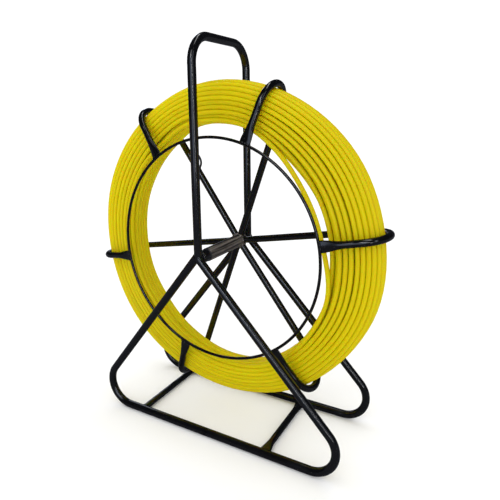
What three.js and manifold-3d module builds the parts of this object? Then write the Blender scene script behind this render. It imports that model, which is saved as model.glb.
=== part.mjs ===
// A fish tape reel: a long springy rod wound in a wire cage that turns on a bent-tube stand.
// Millimetres, +Z up. The cage turns about an axle along Y. The stand's front frame is at -Y.
// The origin is on the ground, straight below the middle of the axle.
import * as THREE from "three";
import { mergeVertices } from "three/addons/utils/BufferGeometryUtils.js";
import Module from "manifold-3d";

// Stand
const FRAME_TUBE = 10.3; // diameter of the bent tube
const FRAME_SPACING = 124; // between the centrelines of the two side frames
const AXLE_HEIGHT = 245.1;
const HANDLE_HEIGHT = 505.7; // centreline of the carrying handle
const RIGHT_REACH = 223; // from the axle to the corner of the right leg and the floor bar
const LEFT_REACH = 197;
const LEFT_LEG_OFFSET = 6; // the left leg ends on the side of the upright, not on its centreline
const FOOT_BEND = 32;
const KNEE_BEND = 12;
const HANDLE_BEND = 32.5;
const CROSSBAR_TUBE = 8.5;
const LEFT_CROSSBAR_X = -105.5;
const RIGHT_CROSSBAR_X = 88.3;
const FLARE_LENGTH = 19; // flattened end of the right crossbar
const FLARE_WIDTH = 14.6;
const FLARE_THICKNESS = 4.2;

// Axle and hub
const AXLE_DIAMETER = 10;
const RUNNING_CLEARANCE = 0.1;
const HUB_OUTER = 17.2;
const HUB_BORE = 13;
const HUB_FRONT = -43;
const HUB_REAR = 44.5;
const BUSH_FLANGE = 1.8;
const BUSH_DEPTH = 14;
const COLLAR_OUTER = 15.8;

// Cage
const CAGE_TUBE = 9.1;
const HOOK_ANGLES = [9.8, 71, 125.5, 189.8, 249.8, 306]; // from +X towards +Z, in degrees
const SPOKE_START = 9.4; // distance of a spoke's inner end from the axle
const SPOKE_HUB_Y = 37;
const SPOKE_RIM_Y = 41;
const HOOK_OUTERS = [216, 219.5, 218, 216, 216, 216]; // centreline radius of each bend's furthest point
const HOOK_FRONT_Y = -20.6;
const RING_RADIUS = 145.3;
const RING_Y = -28.3;
const RING_WIRE = 3.8;
const TIP_LENGTH = 24;
const TIP_WIDTH = 15;
const TIP_THICKNESS = 3.8;
const GUIDE_HOOK = 2; // index of the hook that carries the guide loop
const GUIDE_RADIUS = 130.3;
const GUIDE_HALF_LENGTH = 12;
const GUIDE_BULGE = 9;
const GUIDE_WIRE = 3;

// Coiled rod
const COIL_OUTER = 209.6;
const COIL_INNER = 155;
const COIL_Y = 10.3;
const COIL_HALF_WIDTH = 24;
const COIL_ROUNDNESS = 2.5; // exponent of the bundle's superellipse section
const FERRULE_LENGTH = 30;
const FERRULE_RADIUS = 4;
const FERRULE_BORE_DEPTH = 17;
const FERRULE_WALL = 0.8;
const INNER_FERRULE = { angle: 356, y: 22 };
const LEADING_FERRULE = { angle: 160, radius: 190 };

const GAP = 0.3; // between pieces that touch
const FRAME_SIDES = 12;
const CAGE_SIDES = 10;
const ROUND_SIDES = 32;
const COIL_SEGMENTS = 60;

const SPACING_HALF = FRAME_SPACING / 2;
const INNER_FACE = SPACING_HALF - FRAME_TUBE / 2;
const FLOOR_Z = FRAME_TUBE / 2;

const wasm = await Module();
wasm.setup();

const finishes = {
  black: { color: 0x141416, roughness: 0.35, metalness: 0.2 },
  satinBlack: { color: 0x2a2624, roughness: 0.5, metalness: 0.3 },
  steel: { color: 0x9a9a9c, roughness: 0.4, metalness: 1 },
  nylon: { color: 0x2f2f30, roughness: 0.6, metalness: 0 },
  yellow: { color: 0xd8cb12, roughness: 0.4, metalness: 0 },
  brass: { color: 0xb08d3c, roughness: 0.3, metalness: 1 },
};

function piece(name, geometry, finish) {
  const mesh = new THREE.Mesh(geometry, new THREE.MeshStandardMaterial(finishes[finish]));
  mesh.name = name;
  return mesh;
}

function radians(degrees) {
  return THREE.MathUtils.degToRad(degrees);
}

// A path given by its own stations, so that straight stretches need no points between their ends.
class StationPath extends THREE.Curve {
  constructor(points, tangents) {
    super();
    this.points = points;
    this.tangents = tangents;
  }
  station(t) {
    return Math.round(t * (this.points.length - 1));
  }
  getPoint(t, target = new THREE.Vector3()) {
    return target.copy(this.points[this.station(t)]);
  }
  getTangent(t, target = new THREE.Vector3()) {
    return target.copy(this.tangents[this.station(t)]);
  }
  getUtoTmapping(u) {
    return u;
  }
}

// Straight runs between corner points, with an arc of the given radius at each inner corner.
function bentPath(corners, radii, stepDegrees = 15) {
  const points = [];
  const tangents = [];
  const direction = (a, b) => b.clone().sub(a).normalize();
  const add = (point, tangent) => {
    points.push(point);
    tangents.push(tangent);
  };
  add(corners[0].clone(), direction(corners[0], corners[1]));
  for (let i = 1; i < corners.length - 1; i++) {
    const into = direction(corners[i - 1], corners[i]);
    const out = direction(corners[i], corners[i + 1]);
    const turn = into.angleTo(out);
    const radius = radii[i - 1];
    const start = corners[i].clone().addScaledVector(into, -radius * Math.tan(turn / 2));
    const side = out.clone().addScaledVector(into, -Math.cos(turn)).normalize();
    const steps = Math.max(2, Math.ceil(THREE.MathUtils.radToDeg(turn) / stepDegrees));
    for (let k = 0; k <= steps; k++) {
      const angle = (turn * k) / steps;
      const point = start.clone();
      point.addScaledVector(into, radius * Math.sin(angle));
      point.addScaledVector(side, radius * (1 - Math.cos(angle)));
      const tangent = into.clone().multiplyScalar(Math.cos(angle));
      tangent.addScaledVector(side, Math.sin(angle));
      add(point, tangent);
    }
  }
  const last = corners.length - 1;
  add(corners[last].clone(), direction(corners[last - 1], corners[last]));
  return new StationPath(points, tangents);
}

// A section with a flat towards each of its own axes, as wide across its flats as the tube.
function tubeSection(diameter, sides) {
  const shape = new THREE.Shape();
  const radius = diameter / 2 / Math.cos(Math.PI / sides);
  for (let i = 0; i < sides; i++) {
    const angle = ((i + 0.5) * 2 * Math.PI) / sides;
    const place = [radius * Math.cos(angle), radius * Math.sin(angle)];
    if (i) shape.lineTo(...place);
    else shape.moveTo(...place);
  }
  shape.closePath();
  return shape;
}

function tubeAlong(path, diameter, sides) {
  const steps = path.points.length - 1;
  const settings = { steps, extrudePath: path, bevelEnabled: false };
  return new THREE.ExtrudeGeometry(tubeSection(diameter, sides), settings);
}

function solidOf(geometry) {
  const bare = geometry.clone();
  bare.deleteAttribute("normal");
  bare.deleteAttribute("uv");
  const merged = mergeVertices(bare, 1e-4);
  const vertProperties = new Float32Array(merged.attributes.position.array);
  const triVerts = new Uint32Array(merged.index.array);
  return new wasm.Manifold(new wasm.Mesh({ numProp: 3, vertProperties, triVerts }));
}

function geometryOf(solid) {
  const mesh = solid.getMesh();
  const geometry = new THREE.BufferGeometry();
  const places = new THREE.BufferAttribute(new Float32Array(mesh.vertProperties), 3);
  geometry.setAttribute("position", places);
  geometry.setIndex(new THREE.BufferAttribute(new Uint32Array(mesh.triVerts), 1));
  geometry.computeVertexNormals();
  return geometry;
}

// A turned piece about the Y axis. The outline closes on itself.
function turned(outline, segments = ROUND_SIDES) {
  const points = outline.map(([radius, y]) => new THREE.Vector2(radius, y));
  return new THREE.LatheGeometry([...points, points[0].clone()], segments);
}

// Smooth change from 0 to 1 as a value goes from one limit to the other.
function blend(value, from, to) {
  const t = THREE.MathUtils.clamp((value - from) / (to - from), 0, 1);
  return t * t * (3 - 2 * t);
}

// One side frame: half of the handle, the upright, the knee at the axle, the right leg,
// the floor bar and the left leg, whose end is welded to the side of the knee.
function sideFrame(side) {
  const y = side * SPACING_HALF;
  const at = (x, z, yy = y) => new THREE.Vector3(x, yy, z);
  const overlap = 6;
  const main = bentPath(
    [
      at(0, HANDLE_HEIGHT, (side * GAP) / 2),
      at(0, HANDLE_HEIGHT),
      at(0, AXLE_HEIGHT),
      at(RIGHT_REACH, FLOOR_Z),
      at(0, FLOOR_Z),
    ],
    [HANDLE_BEND, KNEE_BEND, FOOT_BEND],
  );
  const leg = bentPath(
    [at(overlap, FLOOR_Z), at(-LEFT_REACH, FLOOR_Z), at(-LEFT_LEG_OFFSET, AXLE_HEIGHT - 3)],
    [FOOT_BEND],
  );
  const parts = [main, leg].map((path) => solidOf(tubeAlong(path, FRAME_TUBE, FRAME_SIDES)));
  return geometryOf(parts[0].add(parts[1]));
}

// A straight tube along Y between the floor bars, flattened and widened at its ends if flared.
function crossbar(flared) {
  const half = INNER_FACE - GAP;
  const stops = flared ? [half, half - 7, half - 14, half - FLARE_LENGTH] : [half];
  const ys = [...stops.map((y) => -y), ...[...stops].reverse()];
  const along = new THREE.Vector3(0, 1, 0);
  const path = new StationPath(
    ys.map((y) => new THREE.Vector3(0, y, 0)),
    ys.map(() => along.clone()),
  );
  const geometry = tubeAlong(path, CROSSBAR_TUBE, CAGE_SIDES);
  const places = geometry.attributes.position;
  for (let i = 0; flared && i < places.count; i++) {
    const share = blend(Math.abs(places.getY(i)), half - FLARE_LENGTH, half);
    const wide = 1 + share * (FLARE_WIDTH / CROSSBAR_TUBE - 1);
    const thick = 1 + share * (FLARE_THICKNESS / CROSSBAR_TUBE - 1);
    places.setX(i, places.getX(i) * wide);
    places.setZ(i, places.getZ(i) * thick);
  }
  return geometry;
}

// A hook in its own frame: X out from the axle, Y along it. It runs out at the rear as a spoke,
// bends round the outside of the coil, and comes back in front to a flattened tip on the ring.
function hook(outer) {
  const bend = (SPOKE_RIM_Y - HOOK_FRONT_Y) / 2;
  const middle = (SPOKE_RIM_Y + HOOK_FRONT_Y) / 2;
  const legStart = outer - bend;
  const tip = RING_RADIUS + RING_WIRE / 2 + GAP;
  const points = [new THREE.Vector3(SPOKE_START, SPOKE_HUB_Y, 0)];
  const bendSteps = 12;
  for (let k = 0; k <= bendSteps; k++) {
    const angle = (Math.PI * k) / bendSteps;
    const x = legStart + bend * Math.sin(angle);
    points.push(new THREE.Vector3(x, middle + bend * Math.cos(angle), 0));
  }
  const slope = (HOOK_FRONT_Y - RING_Y) / (legStart - RING_RADIUS);
  const legY = (x) => HOOK_FRONT_Y + (x - legStart) * slope;
  const tipSteps = 4;
  for (let k = 0; k <= tipSteps; k++) {
    const x = tip + TIP_LENGTH * (1 - k / tipSteps);
    points.push(new THREE.Vector3(x, legY(x), 0));
  }
  const tangents = points.map((point, i) => {
    const before = points[Math.max(0, i - 1)];
    const after = points[Math.min(points.length - 1, i + 1)];
    return after.clone().sub(before).normalize();
  });
  const path = new StationPath(points, tangents);
  const geometry = tubeAlong(path, CAGE_TUBE, CAGE_SIDES);
  const places = geometry.attributes.position;
  for (let i = 0; i < places.count; i++) {
    const x = places.getX(i);
    const share = places.getY(i) < 0 ? blend(-x, -tip - TIP_LENGTH, -tip) : 0;
    const wide = 1 + share * (TIP_WIDTH / CAGE_TUBE - 1);
    const thick = 1 + share * (TIP_THICKNESS / CAGE_TUBE - 1);
    places.setY(i, legY(x) + (places.getY(i) - legY(x)) * (share > 0 ? thick : 1));
    places.setZ(i, places.getZ(i) * wide);
  }
  return geometry;
}

// A half loop of wire in the hook's frame, on the side of its spoke.
function guideLoop() {
  const spokeY = THREE.MathUtils.mapLinear(
    GUIDE_RADIUS,
    SPOKE_START,
    HOOK_OUTERS[GUIDE_HOOK] - (SPOKE_RIM_Y - HOOK_FRONT_Y) / 2,
    SPOKE_HUB_Y,
    SPOKE_RIM_Y,
  );
  const surface = -CAGE_TUBE / 2 / Math.cos(Math.PI / CAGE_SIDES) - GAP;
  const points = [];
  const tangents = [];
  const steps = 14;
  for (let k = 0; k <= steps; k++) {
    const angle = (Math.PI * k) / steps;
    const x = GUIDE_RADIUS - GUIDE_HALF_LENGTH * Math.cos(angle);
    const z = surface - GUIDE_BULGE * Math.sin(angle);
    points.push(new THREE.Vector3(x, spokeY, z));
    const run = GUIDE_HALF_LENGTH * Math.sin(angle);
    tangents.push(new THREE.Vector3(run, 0, -GUIDE_BULGE * Math.cos(angle)).normalize());
  }
  return tubeAlong(new StationPath(points, tangents), GUIDE_WIRE, 8);
}

// A flanged bush pressed into the hub's end: its sleeve runs inwards from the flange.
function bush(hubEnd) {
  const out = Math.sign(hubEnd);
  const bore = AXLE_DIAMETER / 2 + RUNNING_CLEARANCE;
  const sleeve = HUB_BORE / 2 - GAP;
  const flange = HUB_OUTER / 2 - 0.4;
  const inner = hubEnd - out * BUSH_DEPTH;
  const seat = hubEnd + out * GAP;
  const face = seat + out * BUSH_FLANGE;
  const outline = [
    [bore, inner],
    [sleeve, inner],
    [sleeve, seat],
    [flange, seat],
    [flange, face],
    [bore, face],
  ];
  return turned(out > 0 ? outline : outline.reverse());
}

// A stop collar on the axle, between a bush and a side frame.
function collar(hubEnd) {
  const out = Math.sign(hubEnd);
  const near = hubEnd + out * (BUSH_FLANGE + 2 * GAP);
  const far = out * (INNER_FACE - GAP);
  const [low, high] = [Math.min(near, far), Math.max(near, far)];
  const bore = AXLE_DIAMETER / 2 + GAP;
  const edge = COLLAR_OUTER / 2;
  const chamfer = 0.8;
  return turned([
    [bore, low],
    [edge - chamfer, low],
    [edge, low + chamfer],
    [edge, high - chamfer],
    [edge - chamfer, high],
    [bore, high],
  ]);
}

function axle() {
  const half = INNER_FACE - GAP;
  const radius = AXLE_DIAMETER / 2;
  const outline = [
    new THREE.Vector2(0, -half),
    new THREE.Vector2(radius, -half),
    new THREE.Vector2(radius, half),
    new THREE.Vector2(0, half),
  ];
  return new THREE.LatheGeometry(outline, ROUND_SIDES);
}

// The outer shape of the wound rod: a ring with a rounded section.
function coil() {
  const middle = (COIL_OUTER + COIL_INNER) / 2;
  const half = (COIL_OUTER - COIL_INNER) / 2;
  const steps = 20;
  const outline = [];
  for (let k = 0; k < steps; k++) {
    const angle = (2 * Math.PI * k) / steps;
    const bulge = (value) => Math.sign(value) * Math.abs(value) ** (2 / COIL_ROUNDNESS);
    const radius = middle + half * bulge(Math.cos(angle));
    outline.push([radius, COIL_Y + COIL_HALF_WIDTH * bulge(Math.sin(angle))]);
  }
  return turned(outline, COIL_SEGMENTS);
}

// A brass end fitting along Y, with a blind socket for the rod and a threaded nose.
function ferrule() {
  const socket = FERRULE_RADIUS - FERRULE_WALL;
  const nose = 2.5;
  const shoulder = FERRULE_LENGTH - 8;
  const outline = [
    [0, FERRULE_BORE_DEPTH],
    [socket, FERRULE_BORE_DEPTH],
    [socket, 0],
    [FERRULE_RADIUS, 0],
    [FERRULE_RADIUS, shoulder - 1],
    [FERRULE_RADIUS - 1, shoulder],
    [nose, shoulder],
    [nose, FERRULE_LENGTH - 1],
    [nose - 0.8, FERRULE_LENGTH],
    [0, FERRULE_LENGTH],
  ];
  return new THREE.LatheGeometry(
    outline.map(([radius, y]) => new THREE.Vector2(radius, y)),
    12,
  );
}

// Puts a ferrule at an angle round the axle, pointing along the turn.
function placeFerrule(mesh, angle, radius, y, sense) {
  const turn = new THREE.Group();
  turn.rotation.y = -radians(angle);
  mesh.position.set(radius, y, (-sense * FERRULE_LENGTH) / 2);
  mesh.rotation.x = (sense * Math.PI) / 2;
  turn.add(mesh);
  return turn;
}

const stand = new THREE.Group();
stand.add(piece("front_frame", sideFrame(-1), "black"));
stand.add(piece("rear_frame", sideFrame(1), "black"));
const leftCrossbar = piece("left_crossbar", crossbar(false), "black");
leftCrossbar.position.set(LEFT_CROSSBAR_X, 0, FLOOR_Z);
const rightCrossbar = piece("right_crossbar", crossbar(true), "black");
rightCrossbar.position.set(RIGHT_CROSSBAR_X, 0, FLOOR_Z);
stand.add(leftCrossbar, rightCrossbar);

const spindle = new THREE.Group();
spindle.position.z = AXLE_HEIGHT;
spindle.add(piece("axle", axle(), "steel"));
spindle.add(piece("front_collar", collar(HUB_FRONT), "black"));
spindle.add(piece("rear_collar", collar(HUB_REAR), "black"));
stand.add(spindle);

const reel = new THREE.Group();
reel.position.z = AXLE_HEIGHT;
const hubOutline = [
  [HUB_BORE / 2, HUB_FRONT],
  [HUB_OUTER / 2, HUB_FRONT],
  [HUB_OUTER / 2, HUB_REAR],
  [HUB_BORE / 2, HUB_REAR],
];
reel.add(piece("hub_tube", turned(hubOutline), "satinBlack"));
reel.add(piece("front_bush", bush(HUB_FRONT), "nylon"));
reel.add(piece("rear_bush", bush(HUB_REAR), "nylon"));
HOOK_ANGLES.forEach((angle, i) => {
  const spoke = new THREE.Group();
  spoke.rotation.y = -radians(angle);
  spoke.add(piece(`cage_hook_${i + 1}`, hook(HOOK_OUTERS[i]), "black"));
  if (i === GUIDE_HOOK) spoke.add(piece("guide_loop", guideLoop(), "black"));
  reel.add(spoke);
});
const ring = piece("front_ring", new THREE.TorusGeometry(RING_RADIUS, RING_WIRE / 2, 8, 60), "black");
ring.rotation.x = Math.PI / 2;
ring.position.y = RING_Y;
reel.add(ring);
reel.add(piece("rod_coil", coil(), "yellow"));
const innerRadius = COIL_INNER - GAP - FERRULE_RADIUS;
const innerFerrule = piece("inner_rod_ferrule", ferrule(), "brass");
reel.add(placeFerrule(innerFerrule, INNER_FERRULE.angle, innerRadius, INNER_FERRULE.y, -1));
const leadingY = COIL_Y + COIL_HALF_WIDTH + GAP + FERRULE_RADIUS;
const leadingFerrule = piece("leading_rod_ferrule", ferrule(), "brass");
const { angle: leadingAngle, radius: leadingRadius } = LEADING_FERRULE;
reel.add(placeFerrule(leadingFerrule, leadingAngle, leadingRadius, leadingY, 1));

const fishTapeReel = new THREE.Group();
fishTapeReel.add(stand, reel);

export default fishTapeReel;
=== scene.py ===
import math

import bpy
import numpy as np
from mathutils import Matrix, Vector


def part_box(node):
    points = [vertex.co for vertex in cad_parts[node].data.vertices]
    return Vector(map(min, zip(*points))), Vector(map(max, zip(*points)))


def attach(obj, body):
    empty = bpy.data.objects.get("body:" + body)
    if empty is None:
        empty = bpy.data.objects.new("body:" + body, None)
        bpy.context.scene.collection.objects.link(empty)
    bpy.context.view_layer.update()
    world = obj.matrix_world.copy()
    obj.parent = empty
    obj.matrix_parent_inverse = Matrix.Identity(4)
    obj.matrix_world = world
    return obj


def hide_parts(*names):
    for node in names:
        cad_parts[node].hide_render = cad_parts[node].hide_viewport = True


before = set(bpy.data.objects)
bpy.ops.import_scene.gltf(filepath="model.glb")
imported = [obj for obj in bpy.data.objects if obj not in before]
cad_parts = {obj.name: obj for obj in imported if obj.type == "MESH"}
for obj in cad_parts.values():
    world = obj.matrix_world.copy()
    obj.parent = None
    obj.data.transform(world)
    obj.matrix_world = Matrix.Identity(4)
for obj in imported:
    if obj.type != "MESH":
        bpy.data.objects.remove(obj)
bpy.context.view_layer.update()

MM = 0.001
TAU = 2 * math.pi

# ---------------------------------------------------------------- driving sizes, as the CAD part has them
low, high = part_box("front_frame")
FRAME_TUBE = 10.3 * MM
TUBE_SIDES = 28
FRAME_Y = -(low.y + FRAME_TUBE / 2)
FLOOR_BAR_Z = FRAME_TUBE / 2
HANDLE_Z = high.z - FRAME_TUBE / 2
RIGHT_REACH = 223 * MM
LEFT_REACH = 197 * MM
LEFT_LEG_OFFSET = 6 * MM
LEFT_LEG_DROP = 3 * MM  # the left leg's end lies this much below the axle's height
FLOOR_BAR_OVERLAP = 6 * MM  # how far the left leg's tube runs into the other tube's floor bar
HANDLE_GAP = 0.05 * MM  # from the handle's middle to each tube's end
FOOT_BEND = 32 * MM
KNEE_BEND = 12 * MM
HANDLE_BEND = 32.5 * MM
INNER_FACE = FRAME_Y - FRAME_TUBE / 2
CROSSBAR_TUBE = 8.5 * MM
LEFT_CROSSBAR_X = -105.5 * MM
RIGHT_CROSSBAR_X = 88.3 * MM
FLARE_WIDTH = 14.6 * MM
FLARE_THICKNESS = 4.2 * MM

low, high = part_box("hub_tube")
AXLE = Vector((0, 0, (low.z + high.z) / 2))
HUB_RADIUS = (high.z - low.z) / 2
HUB_BORE_RADIUS = 6.5 * MM
BUSH_CLEARANCE = 0.1 * MM
BUSH_DEPTH = 14 * MM
BUSH_FLANGE = 1.8 * MM
BUSH_FLANGE_STEP = 0.4 * MM  # how much less its flange's radius is than the hub's
GAP = 0.3 * MM  # between CAD pieces that touch
HUB_FRONT = low.y
HUB_REAR = high.y
AXLE_RADIUS = 5 * MM

CAGE_TUBE = 9.1 * MM
HOOK_ANGLES = (9.8, 71, 125.5, 189.8, 249.8, 306)
SPOKE_START = 7 * MM  # how far from the axle's middle a spoke starts, in the hub tube's wall
SPOKE_HUB_Y = 37 * MM
SPOKE_RIM_Y = 41 * MM
HOOK_OUTERS = (216 * MM, 219.5 * MM, 218 * MM, 216 * MM, 216 * MM, 216 * MM)
HOOK_FRONT_Y = -20.6 * MM
RING_RADIUS = 145.3 * MM
RING_Y = -28.3 * MM
RING_WIRE = 3.8 * MM
TIP_LENGTH = 24 * MM
TIP_WIDTH = 15 * MM
TIP_THICKNESS = 3.8 * MM
GUIDE_HOOK = 2
GUIDE_RADIUS = 130.3 * MM
GUIDE_HALF_LENGTH = 12 * MM
GUIDE_BULGE = 9 * MM
GUIDE_WIRE = 3 * MM
GUIDE_SHARE = 0.69  # of the spoke's lean to the rear, at the loop

low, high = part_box("rod_coil")
COIL_INNER = 155 * MM
COIL_Y = (low.y + high.y) / 2
COIL_HALF_WIDTH = (high.y - low.y) / 2

# ---------------------------------------------------------------- camera
CAMERA_PLACE = Vector((327.5, -518.1, 417.5)) * MM
CAMERA_YAW = math.radians(29.16)
CAMERA_PITCH = math.radians(12.58)
CAMERA_ROLL = math.radians(-0.57)
CAMERA_LENS = 34.24
CAMERA_SHIFT = -0.06


def make_camera():
    data = bpy.data.cameras.new("camera")
    data.lens = CAMERA_LENS
    data.shift_y = CAMERA_SHIFT
    data.clip_start = 0.01
    camera = bpy.data.objects.new("camera", data)
    turn = Matrix.Rotation(CAMERA_YAW, 4, "Z") @ Matrix.Rotation(math.pi / 2 - CAMERA_PITCH, 4, "X")
    camera.matrix_world = Matrix.Translation(CAMERA_PLACE) @ turn @ Matrix.Rotation(CAMERA_ROLL, 4, "Z")
    bpy.context.collection.objects.link(camera)
    bpy.context.scene.camera = camera


# ---------------------------------------------------------------- materials
class Nodes:
    """A material's node tree, with short calls for the nodes used here."""

    def __init__(self, name):
        self.material = bpy.data.materials.new(name)
        self.material.use_nodes = True
        self.tree = self.material.node_tree
        self.shader = self.tree.nodes["Principled BSDF"]
        self.place = self.tree.nodes.new("ShaderNodeTexCoord").outputs["Object"]

    def set(self, **values):
        for name, value in values.items():
            self.shader.inputs[name.replace("_", " ")].default_value = value
        return self

    def wire(self, output, name):
        self.tree.links.new(output, self.shader.inputs[name.replace("_", " ")])

    def add(self, kind, inputs=(), **settings):
        node = self.tree.nodes.new(kind)
        for name, value in settings.items():
            setattr(node, name, value)
        for name, value in dict(inputs).items():
            if isinstance(value, bpy.types.NodeSocket):
                self.tree.links.new(value, node.inputs[name])
            else:
                node.inputs[name].default_value = value
        return node

    def noise(self, scale, detail=2.0, roughness=0.5, vector=None):
        inputs = {"Vector": vector or self.place, "Scale": scale, "Detail": detail, "Roughness": roughness}
        return self.add("ShaderNodeTexNoise", inputs).outputs["Fac"]

    def stretched(self, source, scale):
        return self.add("ShaderNodeMapping", {"Vector": source, "Scale": scale}).outputs["Vector"]

    def ramp(self, value, low, high, start=0.0, end=1.0):
        inputs = {"Value": value, "From Min": low, "From Max": high, "To Min": start, "To Max": end}
        return self.add("ShaderNodeMapRange", inputs).outputs["Result"]

    def mix(self, factor, a, b, blend_type="MIX"):
        node = self.add("ShaderNodeMix", data_type="RGBA", blend_type=blend_type)
        for index, value in ((0, factor), (6, a), (7, b)):
            if isinstance(value, bpy.types.NodeSocket):
                self.tree.links.new(value, node.inputs[index])
            else:
                node.inputs[index].default_value = value
        return node.outputs[2]

    def bump(self, heights):
        """Lays bumps over each other, each a (height socket, strength, distance)."""
        normal = None
        for height, strength, distance in heights:
            inputs = {"Height": height, "Strength": strength, "Distance": distance}
            if normal:
                inputs["Normal"] = normal
            normal = self.add("ShaderNodeBump", inputs).outputs["Normal"]
        self.wire(normal, "Normal")


def black_coat(name, shade, gloss):
    """Glossy black powder coat: fine orange peel, cloudy gloss, a few dull scuffs and specks of dust."""
    n = Nodes(name)
    cloud = n.noise(38, 3, 0.55)
    scuff_place = n.stretched(n.place, (900, 900, 160))
    scuffs = n.ramp(n.noise(1.0, 4, 0.7, scuff_place), 0.66, 0.74)
    specks = n.ramp(n.noise(520, 1, 0.5), 0.73, 0.8)
    base = n.mix(cloud, (*[c * 0.75 for c in shade], 1), (*[c * 1.35 for c in shade], 1))
    worn = n.mix(n.ramp(scuffs, 0, 1, 0, 0.35), base, (0.09, 0.09, 0.095, 1))
    n.wire(n.mix(n.ramp(specks, 0, 1, 0, 0.3), worn, (0.2, 0.2, 0.19, 1)), "Base Color")
    n.wire(n.ramp(cloud, 0.3, 0.7, gloss - 0.04, gloss + 0.08), "Roughness")
    n.set(Specular_IOR_Level=0.5)
    n.bump([(n.noise(950, 2, 0.5), 0.12, 0.0002), (scuffs, 0.08, 0.0001)])
    return n.material


def rod_coat():
    """Extruded yellow plastic over the rod's core: streaks along it, a painted highlight in its colour and
    fine texture in its roughness and bumps, soft sheen and rub marks.
    """
    n = Nodes("rod_coat")
    along = n.add("ShaderNodeAttribute", attribute_name="along").outputs["Vector"]
    tint = n.add("ShaderNodeAttribute", attribute_name="tint").outputs["Fac"]
    streaks = n.noise(1.0, 3, 0.5, n.stretched(along, (4.0, 2.5, 2.5)))
    patches = n.noise(1.0, 2, 0.5, n.stretched(along, (9.0, 1.5, 1.0)))
    rubs = n.ramp(n.noise(1.0, 3, 0.55, n.stretched(along, (30.0, 3.0, 3.0))), 0.62, 0.8)
    base = n.mix(tint, (0.54, 0.44, 0.001, 1), (0.65, 0.545, 0.0015, 1))
    warm = n.mix(n.ramp(patches, 0.35, 0.7, 0, 0.5), base, (0.60, 0.465, 0.001, 1))
    # Painted highlight: lighter streaks along the strands, mixed into the yellow.
    faint = n.mix(n.ramp(streaks, 0.3, 0.75, 0, 0.35), warm, (0.68, 0.595, 0.003, 1))
    n.wire(n.mix(n.ramp(rubs, 0, 1, 0, 0.22), faint, (0.44, 0.33, 0.004, 1)), "Base Color")
    n.wire(n.ramp(streaks, 0.3, 0.7, 0.34, 0.5), "Roughness")
    n.set(Specular_IOR_Level=0.07, Subsurface_Weight=0.6, Subsurface_Scale=0.002)
    n.bump([(streaks, 0.06, 0.0002), (rubs, 0.04, 0.0001)])
    return n.material


def turned_metal(name, shade, roughness):
    """Lathe-turned metal: rings of fine tool marks, with dull stains."""
    n = Nodes(name)
    marks = n.noise(1.0, 2, 0.6, n.stretched(n.place, (300, 4200, 300)))
    stains = n.noise(90, 4, 0.6)
    dark = (*[c * 0.55 for c in shade], 1)
    n.wire(n.mix(n.ramp(stains, 0.45, 0.75, 0, 0.6), (*shade, 1), dark), "Base Color")
    n.wire(n.ramp(stains, 0.3, 0.8, roughness, roughness + 0.2), "Roughness")
    n.set(Metallic=1.0)
    n.bump([(marks, 0.25, 0.0001)])
    return n.material


def hub_metal():
    """Thinly coated steel tube: grey-brown, satin, with drawn lines along it in its bumps and roughness,
    painted highlight stripes along it in its colour, and dull stains.
    """
    n = Nodes("hub_metal")
    lines = n.noise(1.0, 3, 0.6, n.stretched(n.place, (330, 9, 330)))
    stains = n.noise(70, 4, 0.6)
    # Painted highlight: the lines' light and dark stripes along the tube's colour stand in for reflections.
    base = n.mix(n.ramp(lines, 0.4, 0.62), (0.02, 0.017, 0.016, 1), (0.24, 0.215, 0.2, 1))
    n.wire(n.mix(n.ramp(stains, 0.5, 0.75, 0, 0.6), base, (0.03, 0.024, 0.02, 1)), "Base Color")
    n.wire(n.ramp(lines, 0.3, 0.7, 0.3, 0.45), "Roughness")
    n.set(Metallic=0.45)
    n.bump([(lines, 0.2, 0.0002)])
    return n.material


def nylon():
    """Black moulded nylon, with fine grain and a dull sheen."""
    n = Nodes("nylon")
    grain = n.noise(700, 3, 0.6)
    n.wire(n.mix(n.noise(60, 3), (0.012, 0.012, 0.012, 1), (0.022, 0.022, 0.023, 1)), "Base Color")
    n.wire(n.ramp(grain, 0.3, 0.7, 0.4, 0.55), "Roughness")
    n.bump([(grain, 0.15, 0.0001)])
    return n.material


# ---------------------------------------------------------------- mesh building
def new_piece(name, points, faces, body, slot, material, replaces=()):
    mesh = bpy.data.meshes.new(name)
    mesh.from_pydata([tuple(p) for p in points], [], faces)
    mesh.validate()
    mesh.shade_smooth()
    piece = bpy.data.objects.new(name, mesh)
    bpy.context.collection.objects.link(piece)
    mesh.materials.append(material)
    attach(piece, body)
    if replaces:
        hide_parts(*replaces)
    return piece


def sharpen(piece, degrees=40):
    """Keeps edges sharper than this from being shaded round."""
    piece.data.set_sharp_from_angle(angle=math.radians(degrees))
    return piece


def unit(v):
    return v / np.linalg.norm(v)


def travel_frames(points, closed=False):
    """Directions along a line and two across it that don't twist, as three arrays."""
    if closed:
        along = np.roll(points, -1, axis=0) - np.roll(points, 1, axis=0)
    else:
        along = np.gradient(points, axis=0)
    along = along / np.linalg.norm(along, axis=1)[:, None]
    side = np.zeros_like(points)
    start = np.array((0.0, 1.0, 0.0)) if abs(along[0][1]) < 0.9 else np.array((1.0, 0.0, 0.0))
    side[0] = unit(start - along[0] * np.dot(start, along[0]))
    for i in range(1, len(points)):
        kept = side[i - 1] - along[i] * np.dot(side[i - 1], along[i])
        side[i] = unit(kept)
    return along, side, np.cross(along, side)


def grid_faces(rings, sides, closed=False):
    faces = []
    for i in range(rings if closed else rings - 1):
        a, b = i * sides, ((i + 1) % rings) * sides
        for j in range(sides):
            k = (j + 1) % sides
            faces.append((a + j, a + k, b + k, b + j))
    return faces


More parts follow.
